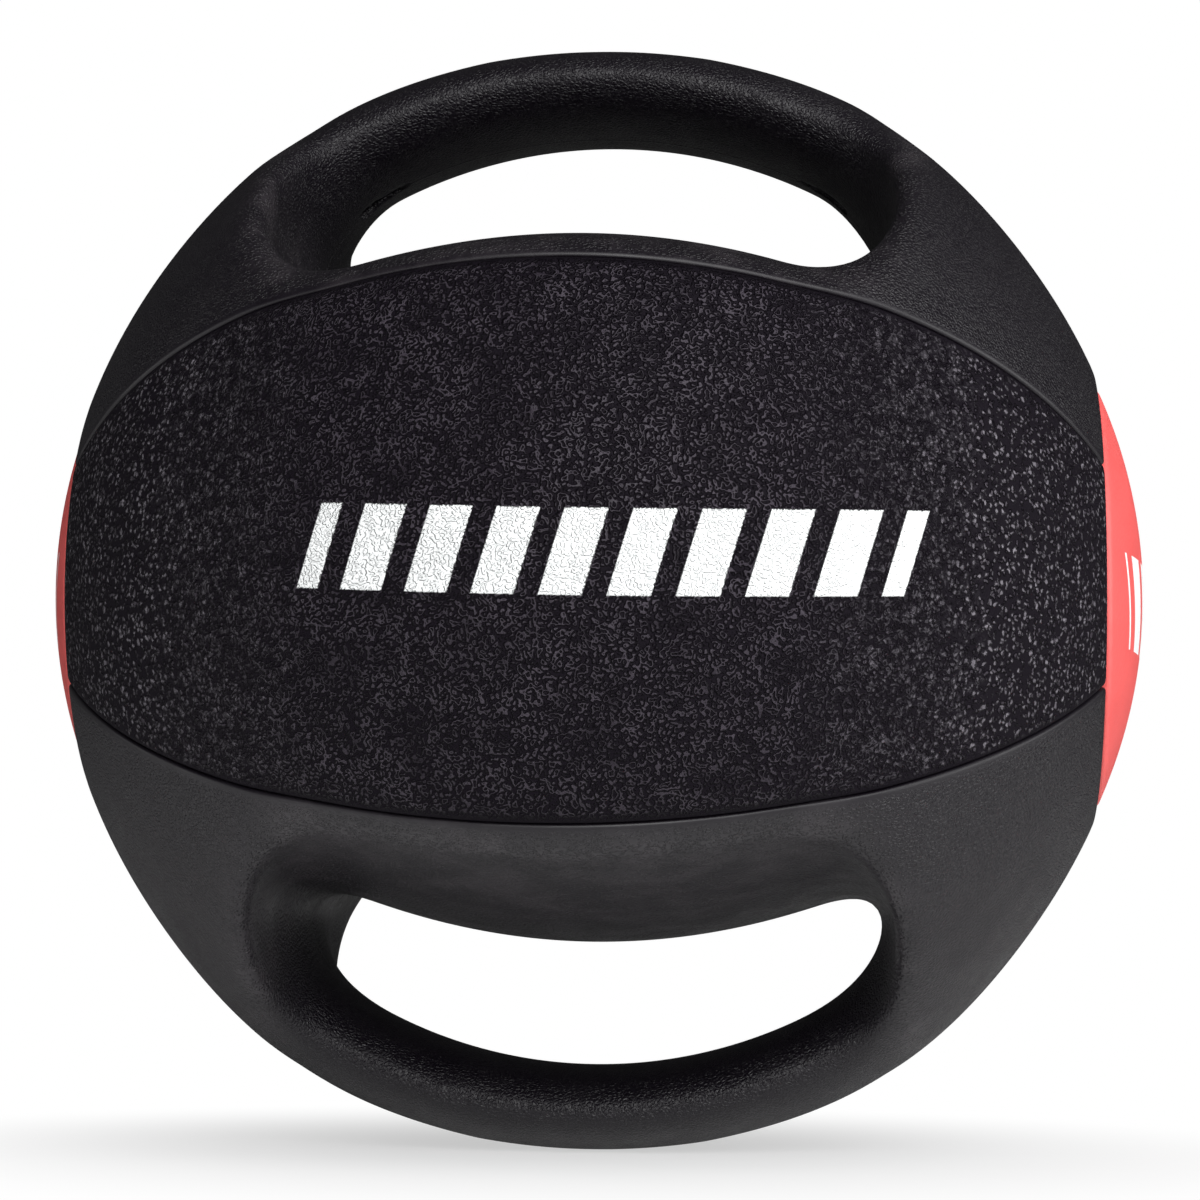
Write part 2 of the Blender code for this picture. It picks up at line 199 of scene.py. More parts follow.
def place(pole, around, radius):
    """Points at these angles from +X, and round X from the front towards the top."""
    pole, around, radius = np.broadcast_arrays(pole, around, radius)
    off = radius * np.sin(pole)
    return np.array((radius * np.cos(pole), -off * np.cos(around), off * np.sin(around)))


def surface_nets(values):
    """The surface where a grid of values is 0: points in grid steps, and quads facing up the field."""
    inside = values < 0.0
    cells = np.array(values.shape) - 1
    filled = np.zeros(cells, np.int8)
    for i, j, k in product((0, 1), repeat=3):
        filled += inside[i : i + cells[0], j : j + cells[1], k : k + cells[2]]
    active = (filled > 0) & (filled < 8)
    number = np.full(cells, -1, np.int64)
    cell = np.argwhere(active)
    number[active] = np.arange(len(cell))
    total, hits = np.zeros((len(cell), 3)), np.zeros(len(cell))
    faces = []
    for axis in range(3):
        step = np.eye(3, dtype=int)[axis]
        side, other = np.eye(3, dtype=int)[[(axis + 1) % 3, (axis + 2) % 3]]
        for a, b in product((0, 1), repeat=2):
            start = cell + a * side + b * other
            low, high = values[tuple(start.T)], values[tuple((start + step).T)]
            crossing = (low < 0.0) != (high < 0.0)
            share = low[crossing] / (low[crossing] - high[crossing])
            total[crossing] += start[crossing] + share[:, None] * step
            hits[crossing] += 1
        span = cells[axis]
        low = inside.take(range(span), axis)
        high = inside.take(range(1, span + 1), axis)
        edge = np.argwhere(low != high)
        kept = (edge[:, (axis + 1) % 3] > 0) & (edge[:, (axis + 2) % 3] > 0)
        kept &= edge[:, (axis + 1) % 3] < cells[(axis + 1) % 3]
        kept &= edge[:, (axis + 2) % 3] < cells[(axis + 2) % 3]
        edge = edge[kept]
        ring = [edge, edge - side, edge - side - other, edge - other]
        quad = np.stack([number[tuple(corner.T)] for corner in ring], axis=1)
        leaving = low[tuple(edge.T)]
        faces.append(np.where(leaving[:, None], quad, quad[:, ::-1]))
    return total / hits[:, None], np.concatenate(faces)


def settle(points, field, rounds=4):
    """Moves the points along the field's slope until they lie where it is 0."""
    reach = 0.02 * MM / UNIT
    for _ in range(rounds):
        slope = np.empty_like(points)
        for axis in range(3):
            shift = np.zeros((3, 1))
            shift[axis] = reach
            slope[axis] = (field(points + shift) - field(points - shift)) / (2.0 * reach)
        steepness = np.maximum((slope * slope).sum(axis=0), 0.2)
        move = field(points) * slope / steepness
        points = points - np.clip(move, -FINE, FINE)
    return points


def cover_mesh(name, field, facing, half_angle, deepest, fine_around=(), fine_pole=()):
    """The mesh of one cover, facing this angle round X and reaching half_angle to each side."""
    margin = 4.0 * FINE
    rim = DISC_EDGE - margin
    poles = steps_between(rim, math.pi - rim, COARSE, (DISC_EDGE, math.pi - DISC_EDGE, *fine_pole))
    edges = (facing - half_angle, facing + half_angle)
    arounds = steps_between(edges[0] - margin, edges[1] + margin, COARSE, (*edges, *fine_around))
    radii = steps_between(deepest, 1.0 + 2.0 * COARSE, COARSE, (1.0 - SEAM_ROUND / 2.0,))
    values = np.empty((len(poles), len(arounds), len(radii)), np.float32)
    for row, pole in enumerate(poles):
        values[row] = field(place(pole, arounds[:, None], radii[None, :]))
    points, faces = surface_nets(values)
    axes = [np.interp(points[:, i], np.arange(len(a)), a) for i, a in enumerate((poles, arounds, radii))]
    points = settle(place(*axes), field)
    mesh = bpy.data.meshes.new(name)
    mesh.from_pydata((points.T * UNIT).tolist(), [], faces[:, ::-1].tolist())
    mesh.validate()
    mesh.shade_smooth()
    return mesh


def new_piece(name, mesh, stands_for, finish):
    obj = bpy.data.objects.new(name, mesh)
    bpy.context.scene.collection.objects.link(obj)
    mesh.materials.append(finish)
    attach(obj, "root")
    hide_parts(stands_for)
    return obj


def new_mesh(name, points, faces):
    mesh = bpy.data.meshes.new(name)
    mesh.from_pydata(points, [], faces)
    mesh.validate()
    mesh.shade_smooth()
    return mesh


# ---------------------------------------------------------------- node helpers
class Nodes:
    """Short calls that build one material's nodes."""

    def __init__(self, name):
        self.material = bpy.data.materials.new(name)
        self.material.use_nodes = True
        self.tree = self.material.node_tree
        self.shader = self.tree.nodes["Principled BSDF"]
        self.at = self.add("ShaderNodeTexCoord").outputs["Object"]
        x, y, z = self.add("ShaderNodeSeparateXYZ", Vector=self.at).outputs
        self.x, self.y, self.z = x, y, z

    def add(self, kind, settings=None, **inputs):
        node = self.tree.nodes.new(kind)
        for key, value in (settings or {}).items():
            setattr(node, key, value)
        for key, value in inputs.items():
            self.plug(node.inputs[key.replace("_", " ")], value)
        return node

    def plug(self, socket, value):
        if isinstance(value, bpy.types.NodeSocket):
            self.tree.links.new(value, socket)
        elif value is not None:
            socket.default_value = value

    def math(self, operation, first, second=None, third=None, clamp=False):
        node = self.tree.nodes.new("ShaderNodeMath")
        node.operation, node.use_clamp = operation, clamp
        for socket, value in zip(node.inputs, (first, second, third)):
            self.plug(socket, value)
        return node.outputs[0]

    def noise(self, scale, detail=2.0, roughness=0.5):
        return self.add(
            "ShaderNodeTexNoise", Vector=self.at, Scale=scale, Detail=detail, Roughness=roughness
        )

    def spread(self, value, low, high, to_low=0.0, to_high=1.0, kind="LINEAR"):
        """value's range from low to high, made to_low to to_high."""
        node = self.tree.nodes.new("ShaderNodeMapRange")
        node.interpolation_type = kind
        for socket, number in zip(node.inputs, (value, low, high, to_low, to_high)):
            self.plug(socket, number)
        return node.outputs[0]

    def mix(self, share, first, second):
        """A mix of two colours."""
        node = self.tree.nodes.new("ShaderNodeMix")
        node.data_type = "RGBA"
        self.plug(node.inputs[0], share)
        self.plug(node.inputs[6], (*first, 1.0) if isinstance(first, tuple) else first)
        self.plug(node.inputs[7], (*second, 1.0) if isinstance(second, tuple) else second)
        return node.outputs[2]

    def blend(self, share, first, second):
        """A mix of two numbers."""
        node = self.tree.nodes.new("ShaderNodeMix")
        for index, value in ((0, share), (2, first), (3, second)):
            self.plug(node.inputs[index], value)
        return node.outputs[0]

    def attribute(self, name):
        return self.add("ShaderNodeAttribute", {"attribute_name": name}).outputs["Fac"]

    def warped(self, scale, amount):
        """The position, pushed about by noise of this scale."""
        push = self.noise(scale, detail=1.0).outputs["Color"]
        centred = self.add("ShaderNodeVectorMath", {"operation": "SUBTRACT"})
        self.plug(centred.inputs[0], push)
        centred.inputs[1].default_value = (0.5, 0.5, 0.5)
        moved = self.add("ShaderNodeVectorMath", {"operation": "MULTIPLY_ADD"})
        self.plug(moved.inputs[0], centred.outputs[0])
        moved.inputs[1].default_value = (amount, amount, amount)
        self.plug(moved.inputs[2], self.at)
        return moved.outputs[0]

    def bump(self, height, distance):
        bump = self.add("ShaderNodeBump", Height=height, Distance=distance)
        self.plug(self.shader.inputs["Normal"], bump.outputs[0])

    def set(self, **inputs):
        for key, value in inputs.items():
            socket = self.shader.inputs[key.replace("_", " ")]
            self.plug(socket, (*value, 1.0) if isinstance(value, tuple) else value)
        return self.material


# ---------------------------------------------------------------- materials
BLACK = (0.0040, 0.0024, 0.0052)
# Painted highlight: the panel's crests are painted this lighter grey in place of their gloss
CREST_SHEEN_GREY = (0.0930, 0.0800, 0.0995)
# Painted glints: the light grey painted on the tips of the specks towards a panel's ends
SPECK_GLINT = (0.175, 0.162, 0.184)
# Lighter grey for the recess: partly wear, partly painted sheen
RECESS_SHEEN_AND_WEAR = (0.034, 0.029, 0.034)
PANEL_SHINE, HANDLE_SHINE = 0.10, 0.44
RED_STAIN = (0.62, 0.05, 0.05)
RED = (0.90, 0.125, 0.118)
WHITE = (0.93, 0.95, 0.95)

GRAIN_SCALE = 740.0  # granules per metre
WORM_SCALE, WORM_TURNS = 800.0, 20.0  # of the winding ridges in the middle of a panel
PANEL_BUMP, HANDLE_BUMP, DISC_BUMP = 1.5 * MM, 0.40 * MM, 0.12 * MM
INK_BUMP = 0.45  # the share of the grain that shows through the ink
MOULD_LINE, MOULD_LINE_EDGE, MOULD_LINE_DRIFT = 0.25 * MM, 0.6 * MM, 1.6 * MM
HANDLE_SCALE = 980.0
WARP_SHARE = 0.9  # of a grain's scale, for the noise that pushes it about


def speck_pattern(nodes, at, scale):
    """Separate specks, from 0 to 1, and a random number for each."""
    near = nodes.add("ShaderNodeTexVoronoi", {"feature": "F1"}, Vector=at, Scale=scale)
    specks = nodes.spread(near.outputs["Distance"], 0.26, 0.58, 1.0, 0.0, kind="SMOOTHSTEP")
    chance = nodes.add("ShaderNodeSeparateColor", Color=near.outputs["Color"]).outputs[0]
    return specks, chance


def packed_pattern(nodes, at, scale):
    """Granules that touch each other, from 0 to 1."""
    edge = nodes.add("ShaderNodeTexVoronoi", {"feature": "DISTANCE_TO_EDGE"}, Vector=at, Scale=scale)
    return nodes.spread(edge.outputs["Distance"], 0.0, 0.30, kind="SMOOTHSTEP")


def panel_rubber(name, printed):
    """Winding ridges in the middle of a panel, and specks towards its ends.

    The crests are painted a lighter grey than the grooves, a painted highlight that stands in for their
    gloss, and the tips of the specks towards the ends are painted light as glints.
    """
    nodes = Nodes(name)
    at = nodes.warped(GRAIN_SCALE * WARP_SHARE, 1.3 / GRAIN_SCALE)
    specks, chance = speck_pattern(nodes, at, GRAIN_SCALE)
    patches = nodes.spread(nodes.noise(120.0, detail=2.0).outputs[0], 0.3, 0.7, 0.65, 1.0)
    middle = nodes.attribute("coarse")
    swirl = nodes.math("MULTIPLY", nodes.noise(WORM_SCALE, detail=0.6).outputs[0], WORM_TURNS)
    worms = nodes.spread(nodes.math("SINE", swirl), -0.9, 1.0, kind="SMOOTHSTEP")
    height = nodes.blend(middle, specks, worms)
    height = nodes.math("MULTIPLY", nodes.math("MULTIPLY", height, nodes.attribute("grain")), patches)
    # Random patches that make the painted highlight on the crests stronger or weaker
    sheen_and_wear_patches = nodes.spread(nodes.noise(38.0, detail=5.0, roughness=0.65).outputs[0], 0.35, 0.75, 0.42, 0.66)
    crests = nodes.spread(height, 0.45, 1.05, kind="SMOOTHSTEP")
    # Painted highlight: the crests take the lighter grey, more in some patches
    colour = nodes.mix(nodes.math("MULTIPLY", crests, sheen_and_wear_patches), BLACK, CREST_SHEEN_GREY)
    # Painted glints on the speck tips, away from the middle of the panel
    bright = nodes.math("MULTIPLY", height, nodes.spread(chance, 0.35, 0.90))
    bright = nodes.math("MULTIPLY", bright, nodes.math("SUBTRACT", 1.0, middle))
    colour = nodes.mix(bright, colour, SPECK_GLINT)
    glossy = nodes.spread(nodes.noise(90.0, detail=3.0).outputs[0], 0.3, 0.7, 0.20, 0.34)
    rough = nodes.blend(nodes.spread(height, 0.0, 0.7), 0.72, glossy)
    if printed:
        ink = print_mask(nodes, height)
        colour = nodes.mix(ink, colour, WHITE)
        rough = nodes.blend(ink, rough, 0.55)
        height = nodes.math("MULTIPLY", height, nodes.spread(ink, 0.0, 1.0, 1.0, INK_BUMP))
    nodes.bump(height, PANEL_BUMP)
    return nodes.set(Base_Color=colour, Roughness=rough, Specular_IOR_Level=PANEL_SHINE)


def handle_rubber():
    """A fine satin grain, which is coarser in the recess, with a mould line. The recess is painted a
    lighter, patchy grey: partly wear, partly a painted sheen in place of its gloss.
    """
    nodes = Nodes("handle_rubber")
    at = nodes.warped(HANDLE_SCALE * WARP_SHARE, 0.9 / HANDLE_SCALE)
    packed = packed_pattern(nodes, at, HANDLE_SCALE)
    specks, _ = speck_pattern(nodes, at, HANDLE_SCALE)
    inner = nodes.attribute("coarse")
    height = nodes.blend(inner, nodes.math("MULTIPLY", packed, 0.5), specks)
    height = nodes.math("MULTIPLY", height, nodes.attribute("grain"))
    wander = nodes.noise(60.0, detail=3.0).outputs[0]
    drift = nodes.math("MULTIPLY_ADD", wander, MOULD_LINE_DRIFT, -MOULD_LINE_DRIFT / 2.0)
    off = nodes.math("ABSOLUTE", nodes.math("ADD", nodes.y, drift))
    height = nodes.math("ADD", height, nodes.spread(off, MOULD_LINE, MOULD_LINE_EDGE, 1.2, 0.0))
    # Patches of the recess painted lighter: partly wear, partly painted sheen
    sheen_and_wear_patches = nodes.spread(nodes.noise(70.0, detail=5.0, roughness=0.65).outputs[0], 0.45, 0.68, 0.1, 0.9)
    colour = nodes.mix(nodes.math("MULTIPLY", sheen_and_wear_patches, inner), BLACK, RECESS_SHEEN_AND_WEAR)
    rough = nodes.spread(nodes.noise(90.0, detail=3.0).outputs[0], 0.3, 0.7, 0.38, 0.48)
    nodes.bump(height, HANDLE_BUMP)
    return nodes.set(Base_Color=colour, Roughness=rough, Specular_IOR_Level=HANDLE_SHINE)


PRINT_HALF_WIDTH, PRINT_HALF_HEIGHT = 0.0668, 0.0095
PRINT_AT_X, PRINT_AT_Z = 0.0134, -0.0052
PRINT_BEND = 0.6  # how much the row of bars rises towards its ends, per metre
PRINT_SLANT = 0.30
INK_EDGE = 0.12 * MM  # how soft the ink's edge is
BAR_PITCH, BAR_SHARE = 0.0148, 0.64


def print_mask(nodes, height):
    """A row of slanted bars in white ink on the front, which the grain breaks up at the edges."""
    wander = nodes.math("MULTIPLY", nodes.math("SUBTRACT", height, 0.5), INK_EDGE)
    z = nodes.math("ADD", nodes.math("SUBTRACT", nodes.z, PRINT_AT_Z), wander)
    x = nodes.math("SUBTRACT", nodes.x, PRINT_AT_X)
    z = nodes.math("MULTIPLY_ADD", nodes.math("MULTIPLY", x, x), -PRINT_BEND, z)
    x = nodes.math("ADD", nodes.math("MULTIPLY_ADD", z, -PRINT_SLANT, x), wander)
    row, ends = (
        nodes.spread(nodes.math("ABSOLUTE", off), half - INK_EDGE, half + INK_EDGE, 1.0, 0.0)
        for off, half in ((z, PRINT_HALF_HEIGHT), (x, PRINT_HALF_WIDTH))
    )
    along = nodes.math("MULTIPLY", x, 1.0 / BAR_PITCH)
    in_bar = nodes.math("ABSOLUTE", nodes.math("SUBTRACT", nodes.math("FRACT", along), 0.5))
    edge = INK_EDGE / BAR_PITCH
    bars = nodes.spread(in_bar, BAR_SHARE / 2.0 - edge, BAR_SHARE / 2.0 + edge, 1.0, 0.0)
    facing = nodes.math("LESS_THAN", nodes.y, 0.0)
    mask = nodes.math("MULTIPLY", nodes.math("MULTIPLY", row, ends), bars)
    return nodes.math("MULTIPLY", mask, facing)


DISC_BAR_PITCH, DISC_BAR_HALF_HEIGHT, DISC_BAR_REACH = 14.8 * MM, 11.5 * MM, 41.0 * MM
DISC_BAR_AT_Z = -4.9 * MM
DISC_BAR_HALF_SHARE = 0.33


def disc_rubber():
    """Red rubber with a short row of slanted bars in white ink."""
    nodes = Nodes("red_disc_rubber")
    grain = nodes.noise(900.0, detail=2.0).outputs[0]
    stain = nodes.spread(nodes.noise(60.0, detail=4.0).outputs[0], 0.35, 0.75, 0.0, 0.25)
    colour = nodes.mix(stain, RED, RED_STAIN)
    y = nodes.math("MULTIPLY_ADD", nodes.z, PRINT_SLANT, nodes.y)
    along = nodes.math("FRACT", nodes.math("MULTIPLY_ADD", y, 1.0 / DISC_BAR_PITCH, 0.5))
    in_bar = nodes.math("ABSOLUTE", nodes.math("SUBTRACT", along, 0.5))
    bars = nodes.math("LESS_THAN", in_bar, DISC_BAR_HALF_SHARE)
    up = nodes.math("SUBTRACT", nodes.z, DISC_BAR_AT_Z)
    tall = nodes.math("LESS_THAN", nodes.math("ABSOLUTE", up), DISC_BAR_HALF_HEIGHT)
    wide = nodes.math("LESS_THAN", nodes.math("ABSOLUTE", y), DISC_BAR_REACH)
    ink = nodes.math("MULTIPLY", nodes.math("MULTIPLY", bars, tall), wide)
    nodes.bump(grain, DISC_BUMP)
    return nodes.set(Base_Color=nodes.mix(ink, colour, WHITE), Roughness=0.5, IOR=1.5)


def plain_material(name, colour, darker, roughness, scale, depth):
    """A finish for a piece inside the ball."""
    nodes = Nodes(name)
    patch = nodes.noise(scale, detail=4.0).outputs[0]
    nodes.bump(patch, depth)
    rough = nodes.spread(patch, 0.3, 0.7, roughness - 0.08, roughness + 0.08)
    return nodes.set(Base_Color=nodes.mix(patch, colour, darker), Roughness=rough)


# ---------------------------------------------------------------- pieces
SMOOTH_AT_SEAM, SMOOTH_AT_RIM, GRAIN_FADE = 1.2 * MM, 1.0 * MM, 1.5 * MM
RECESS_REACH = 0.03  # how far off the recess wall its rougher finish fades, in units of the field
SPECKS_END, WORMS_START = math.radians(46.0), math.radians(68.0)  # from the X axis


def paint_cover(mesh, in_recess):
    """Stores the grain's strength and kind at each point of a cover."""
    points = np.empty(len(mesh.vertices) * 3, np.float32)
    mesh.vertices.foreach_get("co", points)
    point = points.reshape(-1, 3).T.astype(float) / UNIT
    off_seam = np.abs(seam_field(point)) * UNIT
    radius = np.sqrt((point * point).sum(axis=0))
    pole = np.arccos(np.abs(point[0]) / radius)
    off_rim = (pole - DISC_EDGE) * COVER_R
    grain = np.clip((off_seam - SMOOTH_AT_SEAM) / GRAIN_FADE, 0.0, 1.0)
    grain *= np.clip((off_rim - SMOOTH_AT_RIM) / GRAIN_FADE, 0.0, 1.0)
    if in_recess:
        coarse = np.exp(-((slot_field(*np.abs(point)) / RECESS_REACH) ** 2))
    else:
        coarse = np.clip((pole - SPECKS_END) / (WORMS_START - SPECKS_END), 0.0, 1.0)
    for name, values in (("grain", grain), ("coarse", coarse)):
        layer = mesh.attributes.new(name, "FLOAT", "POINT")
        layer.data.foreach_set("value", values.astype(np.float32))


def add_covers():
    grip_rubber = handle_rubber()
    quarter = math.pi / 2.0
    handle_reach = quarter - SEAM_ANGLE
    for name, node, facing in (
        ("upper_cover", "upper_handle", quarter),
        ("lower_cover", "lower_handle", -quarter),
    ):
        mesh = cover_mesh(name, handle_field, facing, handle_reach, 0.55)
        paint_cover(mesh, True)
        new_piece(name, mesh, node, grip_rubber)
    hole = (-VALVE_HOLE_R, VALVE_HOLE_R)
    for name, node, facing, fine_at in (
        ("front_cover", "front_panel", 0.0, ()),
        ("rear_cover", "rear_panel", math.pi, hole),
    ):
        fine_around = [facing + turn for turn in fine_at]
        fine_pole = [quarter + turn for turn in fine_at]
        mesh = cover_mesh(name, panel_field, facing, SEAM_ANGLE, 0.95, fine_around, fine_pole)
        paint_cover(mesh, False)
        rubber = panel_rubber(name + "_rubber", printed=facing == 0.0)
        new_piece(name, mesh, node, rubber)


def spun_mesh(name, rows, place):
    """A closed mesh of rings. A ring of radius 0 is a single point, and rows without one make a loop.

    rows holds (radius, height) pairs, in order round the outline. place gives a point from a
    radius, a height, and the cosine and sine of the turn.
    """
    points, rings, faces = [], [], []
    turn = np.arange(SPUN_SEGMENTS) * 2.0 * math.pi / SPUN_SEGMENTS
    for radius, height in rows:
        tip = np.max(radius) == 0.0
        ring = np.array(np.broadcast_arrays(*place(radius, height, np.cos(turn), np.sin(turn)))).T
        fresh = range(len(points), len(points) + SPUN_SEGMENTS)
        rings.append([len(points)] * SPUN_SEGMENTS if tip else fresh)
        points += ring[:1].tolist() if tip else ring.tolist()
    if len(rings[0]) == len(set(rings[0])):
        rings.append(rings[0])
    for here, beyond in zip(rings, rings[1:]):
        for step in range(SPUN_SEGMENTS):
            after = (step + 1) % SPUN_SEGMENTS
            corners = (here[step], beyond[step], beyond[after], here[after])
            faces.append(list(dict.fromkeys(corners)))
    return new_mesh(name, points, faces)


DISC_R = 53.8 * MM
DISC_RIM_X = 127.5 * MM  # where the dome meets the disc's edge
DISC_LIP = 0.7 * MM
DISC_RINGS = 40
DISC_RIPPLE = 0.025 * MM
SPUN_SEGMENTS = 256


def add_discs():
    """The domed discs, whose hand-trimmed edges waver a little."""
    red = disc_rubber()
    rng = np.random.default_rng(7)
    turn = np.arange(SPUN_SEGMENTS) * 2.0 * math.pi / SPUN_SEGMENTS
    for name, node in (("right_disc", "right_end_disc"), ("left_disc", "left_end_disc")):
        low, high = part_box(node)
        side = 1.0 if high.x > 0.0 else -1.0
        bottom, top = sorted((abs(low.x), abs(high.x)))
        ripple = sum(
            rng.normal() * DISC_RIPPLE * np.sin(k * turn + rng.uniform(0.0, 6.3)) for k in range(9, 60, 5)
        )
        rise = top - DISC_RIM_X
        dome_r = (rise**2 + DISC_R**2) / (2.0 * rise)
        rows = [(0.0, top)]
        for share in np.linspace(0.0, 1.0, DISC_RINGS)[1:] ** 0.8:
            radius = DISC_R * share
            lip = max(0.0, (radius - DISC_R + DISC_LIP) / DISC_LIP)
            height = top - dome_r + math.sqrt(dome_r**2 - radius**2) - DISC_LIP / 2.0 * lip**2
            rows.append((radius + ripple * share**8, height))
        for drop in (0.7, 1.2, 1.9, 2.8):
            rows.append((DISC_R + ripple, DISC_RIM_X - drop * MM))
        for share in (0.9, 0.5, 0.0):
            rows.append((DISC_R * share, bottom + 3.4 * MM * (1.0 - share)))
        rows = rows[:: int(side)]

        def on_disc(radius, height, cosine, sine):
            return side * height, radius * cosine, radius * sine

        new_piece(name, spun_mesh(name, rows, on_disc), node, red)


VALVE_ROUND = 0.25 * MM
NEEDLE_R, NEEDLE_MOUTH_R, NEEDLE_DEPTH = 0.6 * MM, 0.9 * MM, 10.0 * MM
BORE_R, NECK_R = 2.2 * MM, 4.0 * MM
PLUG_R = 1.9 * MM
FLANGE_T = 2.0 * MM


def add_valve():
    """The needle valve, in the rear panel: a flanged housing round a soft plug."""
    rubber = plain_material(
        "valve_lip_rubber", (0.022, 0.021, 0.023), (0.012, 0.012, 0.013), 0.36, 900.0, 0.04 * MM
    )

    def on_valve(radius, height, cosine, sine):
        return radius * sine, height, radius * cosine

    low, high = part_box("valve_housing")
    flange_r = high.x
    shoulder = low.y + FLANGE_T
    housing = [(BORE_R, low.y), (BORE_R, high.y - VALVE_ROUND)]
    housing.append((BORE_R + VALVE_ROUND, high.y))
    housing += [(NECK_R - VALVE_ROUND, high.y), (NECK_R, high.y - VALVE_ROUND), (NECK_R, shoulder)]
    housing += [(flange_r, shoulder), (flange_r, low.y)]
    ring = spun_mesh("valve_ring", housing, on_valve)
    new_piece("valve_ring", ring, "valve_housing", rubber)
    low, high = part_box("valve_plug")
    plug = [
        (0.0, high.y - NEEDLE_DEPTH),
        (NEEDLE_R, high.y - NEEDLE_DEPTH + NEEDLE_R),
        (NEEDLE_R, high.y - NEEDLE_MOUTH_R),
        (NEEDLE_MOUTH_R, high.y),
        (PLUG_R - VALVE_ROUND, high.y),
        (PLUG_R, high.y - VALVE_ROUND),
        (PLUG_R, low.y),
        (0.0, low.y),
    ]
    core = spun_mesh("valve_core", plug, on_valve)
    new_piece("valve_core", core, "valve_plug", rubber)


# For the nodes with this word in their names: a material's name, two colours, roughness,
# the scale of its patches per metre, and the depth of its bump
INNER_LOOKS = (
    ("core", "core_plastic", (0.06, 0.06, 0.065), (0.04, 0.04, 0.045), 0.45, 300.0, 0.05 * MM),
    ("carcass", "carcass_rubber", (0.035, 0.032, 0.030), (0.02, 0.018, 0.017), 0.7, 220.0, 0.3 * MM),
    ("yarn", "wound_yarn", (0.72, 0.68, 0.58), (0.5, 0.46, 0.38), 0.85, 500.0, 0.4 * MM),
    ("bladder", "bladder_rubber", (0.05, 0.045, 0.04), (0.03, 0.028, 0.025), 0.45, 150.0, 0.1 * MM),
)


def finish_inner_parts():
    """Materials for the pieces that stay as the CAD made them."""
    for part, *look in INNER_LOOKS:
        finish = plain_material(*look)
        for node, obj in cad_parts.items():
            if part in node:
                obj.data.materials.clear()
                obj.data.materials.append(finish)


# ---------------------------------------------------------------- stage
FLOOR_FADE = (0.03, 0.22)
GLOW_NEAR = 0.55  # the share of white glow in the floor under the ball; further off it is all glow
FLOOR_SHEEN = 0.8  # how bright the floor ahead looks in a reflection
SHEEN_FADE = (-0.05, 0.02)  # the distance behind the ball's middle over which that ends


def add_floor():
    """A wide pale floor that fades into the white background.

    The camera, and reflections of the part ahead of the ball, see some of it as plain white.
    """
    nodes = Nodes("pale_floor")
    speck = nodes.noise(30.0, detail=3.0).outputs[0]
    colour = nodes.mix(nodes.spread(speck, 0.3, 0.7), (0.86, 0.86, 0.86), (0.89, 0.89, 0.89))
    nodes.set(Base_Color=colour, Roughness=0.7)
    away = nodes.math("MULTIPLY_ADD", nodes.x, nodes.x, nodes.math("MULTIPLY", nodes.y, nodes.y))
    away = nodes.math("SQRT", away)
    path = nodes.add("ShaderNodeLightPath")
    front = nodes.spread(nodes.y, *SHEEN_FADE, FLOOR_SHEEN, 0.0)
    glossy, direct = path.outputs["Is Glossy Ray"], path.outputs["Is Camera Ray"]
    seen = nodes.math("MULTIPLY_ADD", glossy, front, direct, clamp=True)
    glow = nodes.add("ShaderNodeEmission", Color=(1.0, 1.0, 1.0, 1.0), Strength=1.0)
    glow_share = nodes.spread(away, *FLOOR_FADE, GLOW_NEAR, 1.0, kind="SMOOTHSTEP")
    share = nodes.math("MULTIPLY", glow_share, seen)
    fade = nodes.add("ShaderNodeMixShader", Fac=share)
    nodes.tree.links.new(nodes.shader.outputs[0], fade.inputs[1])
    nodes.tree.links.new(glow.outputs[0], fade.inputs[2])
    output = nodes.tree.nodes["Material Output"]
    nodes.tree.links.new(fade.outputs[0], output.inputs["Surface"])
    level = CAD_BOX[0].z - 0.2 * MM
    turn = np.linspace(0.0, 2.0 * math.pi, 97)[:-1]
    points, faces = [(0.0, 0.0, 0.0)], []
    radii = (0.3, 1.0, 3.0, 12.0)
    for radius in radii:
        points += [(float(radius * math.cos(t)), float(radius * math.sin(t)), 0.0) for t in turn]
    for step in range(96):
        after = (step + 1) % 96
        faces.append((0, 1 + step, 1 + after))
        for ring in range(len(radii) - 1):
            base = 1 + 96 * ring
            faces.append((base + step, base + 96 + step, base + 96 + after, base + after))
    floor = bpy.data.objects.new("floor", new_mesh("floor", points, faces))
    floor.location.z = level
    floor.data.materials.append(nodes.material)
    bpy.context.scene.collection.objects.link(floor)


LIGHT_DISTANCE, LIGHT_SIZE = 1.3, 0.8
WORLD_STRENGTH = 0.04
LIGHTS = (
    ("front_softbox", (0.2, -1.0, 0.3), 11.6),
    ("overhead_softbox", (0.45, -0.75, 1.0), 4.5),
    ("right_front_softbox", (0.8, -0.7, 0.5), 4.4),
    ("right_softbox", (1.0, -0.2, 0.1), 7.4),
    ("left_softbox", (-1.0, -0.15, 0.0), 2.2),
)


def add_light(name, direction, power):
    """A soft box that faces the ball from this direction."""
    data = bpy.data.lights.new(name, "AREA")
    data.energy = power
    data.shape = "SQUARE"
    data.size = LIGHT_SIZE
    light = bpy.data.objects.new(name, data)
    way = Vector(direction).normalized()
    light.location = way * LIGHT_DISTANCE
    light.rotation_mode = "QUATERNION"
    light.rotation_quaternion = way.to_track_quat("Z", "Y")
    bpy.context.scene.collection.objects.link(light)


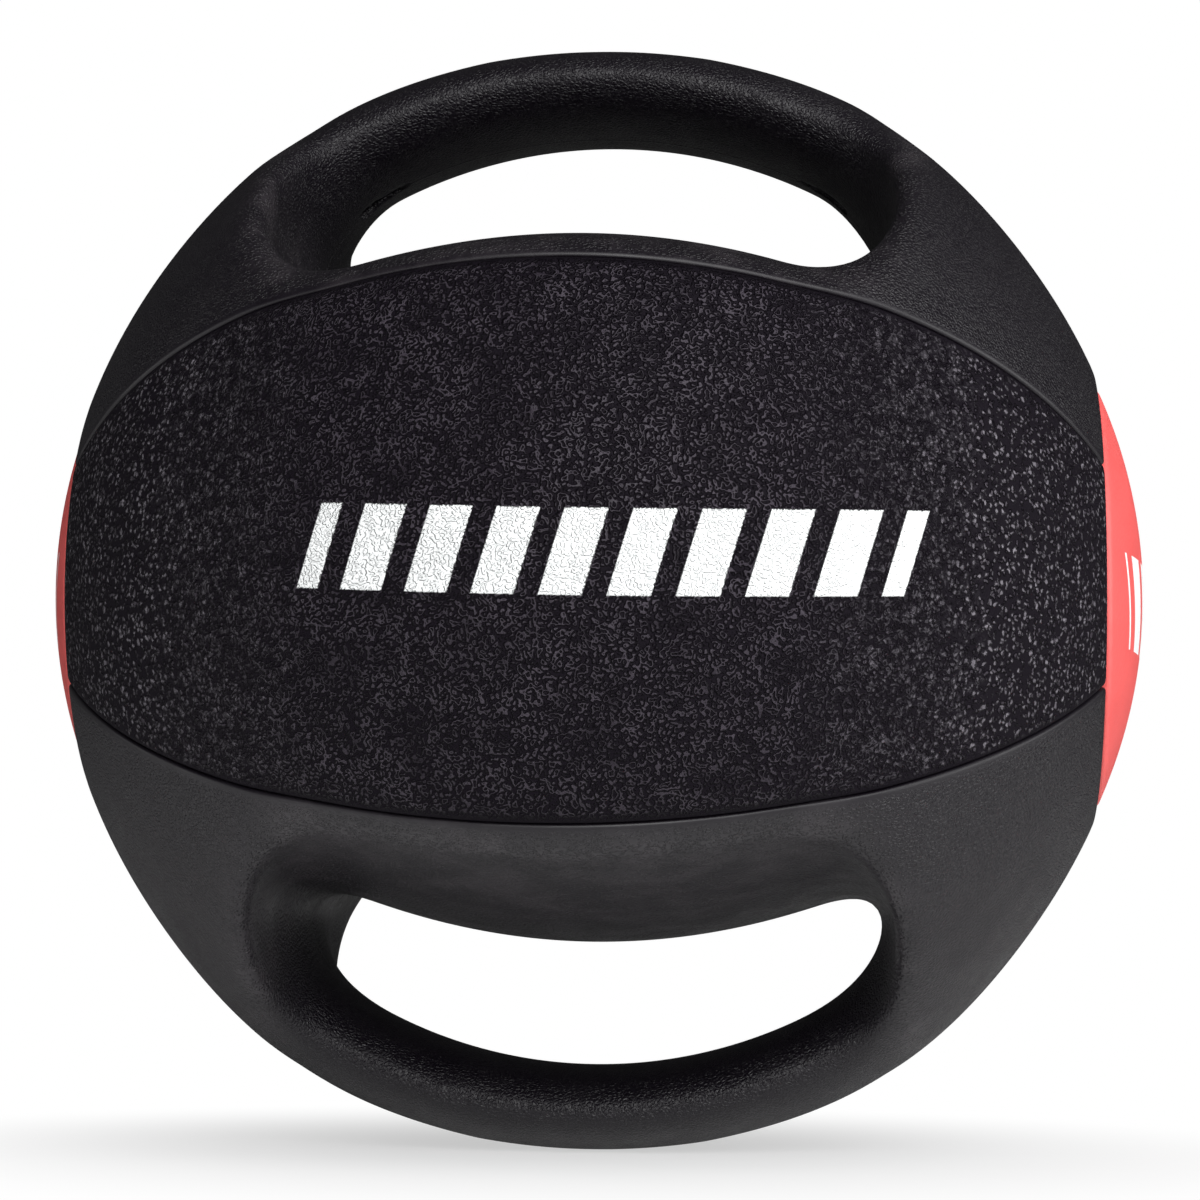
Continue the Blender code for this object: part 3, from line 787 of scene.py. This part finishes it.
def add_lights():
    """A white backdrop for the camera, a faint even light, and the soft boxes."""
    world = bpy.data.worlds.new("white_studio")
    bpy.context.scene.world = world
    world.use_nodes = True
    tree = world.node_tree
    soft = tree.nodes["Background"]
    soft.inputs["Color"].default_value = (1.0, 1.0, 1.0, 1.0)
    soft.inputs["Strength"].default_value = WORLD_STRENGTH
    seen = tree.nodes.new("ShaderNodeBackground")
    seen.inputs["Color"].default_value = (1.0, 1.0, 1.0, 1.0)
    path = tree.nodes.new("ShaderNodeLightPath")
    mix = tree.nodes.new("ShaderNodeMixShader")
    tree.links.new(path.outputs["Is Camera Ray"], mix.inputs[0])
    tree.links.new(soft.outputs[0], mix.inputs[1])
    tree.links.new(seen.outputs[0], mix.inputs[2])
    tree.links.new(mix.outputs[0], tree.nodes["World Output"].inputs["Surface"])
    for name, direction, power in LIGHTS:
        add_light(name, direction, power)


CAMERA_DISTANCE = 0.812
CAMERA_AZIMUTH, CAMERA_ELEVATION, CAMERA_ROLL = map(math.radians, (4.8, -6.29, 0.6))
FOCAL_MM, SENSOR_MM = 93.75, 36.0


def add_camera():
    data = bpy.data.cameras.new("camera")
    data.sensor_width, data.lens = SENSOR_MM, FOCAL_MM
    data.shift_x, data.shift_y = 0.0011, -0.0016
    data.clip_start, data.clip_end = 0.05, 50.0
    camera = bpy.data.objects.new("camera", data)
    flat = math.cos(CAMERA_ELEVATION)
    back = Vector(
        (math.sin(CAMERA_AZIMUTH) * flat, -math.cos(CAMERA_AZIMUTH) * flat, math.sin(CAMERA_ELEVATION))
    )
    right = (-back).cross(Vector((0.0, 0.0, 1.0))).normalized()
    up = right.cross(-back)
    turned = math.cos(CAMERA_ROLL) * right + math.sin(CAMERA_ROLL) * up
    above = math.cos(CAMERA_ROLL) * up - math.sin(CAMERA_ROLL) * right
    camera.matrix_world = Matrix.Translation(back * CAMERA_DISTANCE) @ Matrix(
        (turned, above, back)
    ).transposed().to_4x4()
    bpy.context.scene.collection.objects.link(camera)
    bpy.context.scene.camera = camera


def main():
    bpy.context.scene.view_settings.view_transform = "Standard"
    add_camera()
    add_covers()
    add_discs()
    add_valve()
    finish_inner_parts()
    add_floor()
    add_lights()


main()
